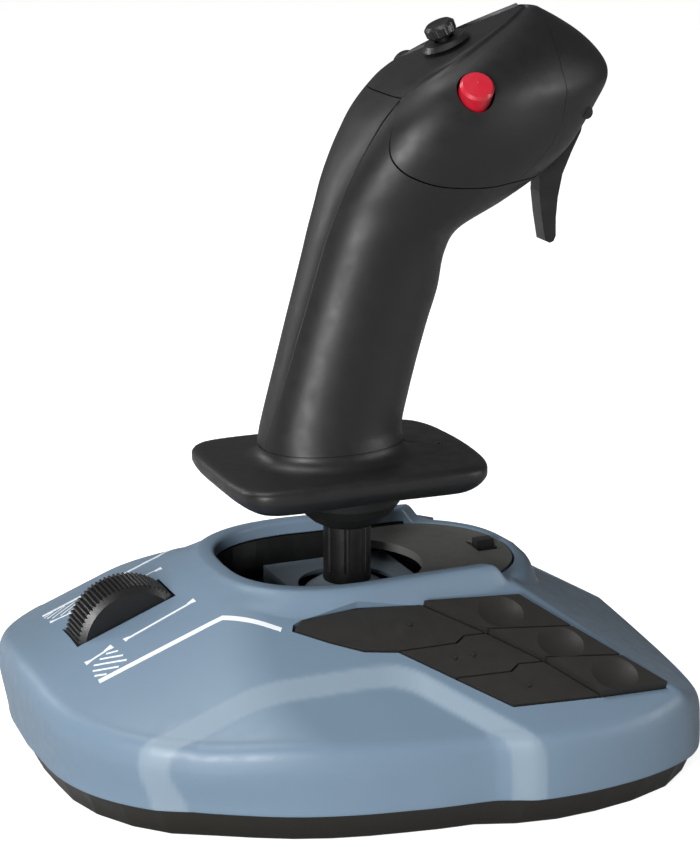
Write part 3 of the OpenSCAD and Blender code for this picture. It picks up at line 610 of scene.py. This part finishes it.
# a fine groove in the hand rest, out from the foot of the grip, that ends in a small hole
LATCH = [Vector((-9.6, 20.7)), Vector((-3.2, 20.7)), Vector((2.4, 29.5))]
for a, b in zip(LATCH, LATCH[1:]):
    side = (b - a).normalized() * 0.28
    side = Vector((-side.y, side.x))
    cut(o, prism("latch", [a - side, b - side, b + side, a + side], 87.8, 90))
cut(o, prism("latch", [LATCH[-1] + Vector(p) for p in round_outline(0.8, 8)], 87.4, 90))
finish_piece(o, "grip", "grip", "hand_rest")

# ---------- CAD pieces that keep their shape, with softened edges ----------
for name, width in (("front_deck", 0.3), ("lock_slide", 0.25), ("hat_cap", 0.2),
                    ("hat_collar", 0.25), ("trigger", 1.2), ("red_button", 0.35), ("black_button", 0.3),
                    ("lever_wheel", 0.14), ("bearing_cup", 0.3), ("gimbal_cover", 0.3), ("base_tray", 0.3),
                    ("cord_gland", 0.4), ("well_liner", 0.3)):
    bevel(nodes[name], width)
for name in nodes:
    if name.startswith("cap_"):
        bevel(nodes[name], 0.35)

# ---------- floor, light, camera ----------
bpy.ops.mesh.primitive_plane_add(size=40)
floor = bpy.context.object
floor.name = "floor"
# white to the camera, and a dull grey that bounces little light to everything else
fm = bpy.data.materials.new("floor")
fm.use_nodes = True
ft = fm.node_tree
plain = ft.nodes["Principled BSDF"]
plain.inputs["Base Color"].default_value = (0.6, 0.6, 0.6, 1)
plain.inputs["Roughness"].default_value = 0.95
plain.inputs["Specular IOR Level"].default_value = 0
plain.inputs["Emission Color"].default_value = (1, 1, 1, 1)
path = ft.nodes.new("ShaderNodeLightPath")
glow = ft.nodes.new("ShaderNodeMath")
glow.operation = "MULTIPLY"
glow.inputs[1].default_value = 0.85
ft.links.new(path.outputs["Is Camera Ray"], glow.inputs[0])
ft.links.new(glow.outputs[0], plain.inputs["Emission Strength"])
floor.data.materials.append(fm)

world = bpy.data.worlds.new("studio")
bpy.context.scene.world = world
world.use_nodes = True
world.node_tree.nodes["Background"].inputs["Color"].default_value = (1, 1, 1, 1)
world.node_tree.nodes["Background"].inputs["Strength"].default_value = 0.16


def area(name, place, size, power, target=(0, 0, 0.1)):
    l = bpy.data.lights.new(name, "AREA")
    l.shape = "RECTANGLE"
    l.size, l.size_y = size
    l.energy = power
    o = bpy.data.objects.new(name, l)
    bpy.context.scene.collection.objects.link(o)
    o.location = place
    o.rotation_mode = "QUATERNION"
    o.rotation_quaternion = (Vector(target) - Vector(place)).to_track_quat("-Z", "Y")
    return o


area("key", (0.93, -0.8, 0.34), (0.35, 0.35), 17, (0, 0, 0.06))
area("top", (-0.1, -0.35, 1.3), (0.6, 0.6), 9)
area("side", (0.62, 0.95, 0.22), (0.16, 0.7), 6, (0, 0.05, 0.17)).visible_diffuse = False
area("rear", (-0.75, -0.7, 0.5), (0.15, 0.6), 4, (0, 0, 0.15))

cam_data = bpy.data.cameras.new("camera")
cam_data.lens = 110.5
cam = bpy.data.objects.new("camera", cam_data)
bpy.context.scene.collection.objects.link(cam)
az, el = math.radians(67.6), math.radians(16)
back = Vector((math.sin(az) * math.cos(el), -math.cos(az) * math.cos(el), math.sin(el)))
cam.rotation_mode = "QUATERNION"
cam.rotation_quaternion = (-back).to_track_quat("-Z", "Y")
cam.location = (0.6909, -0.2838, 0.3114)
cam_data.clip_start = 0.05
bpy.context.scene.camera = cam
bpy.context.scene.view_settings.view_transform = "Standard"
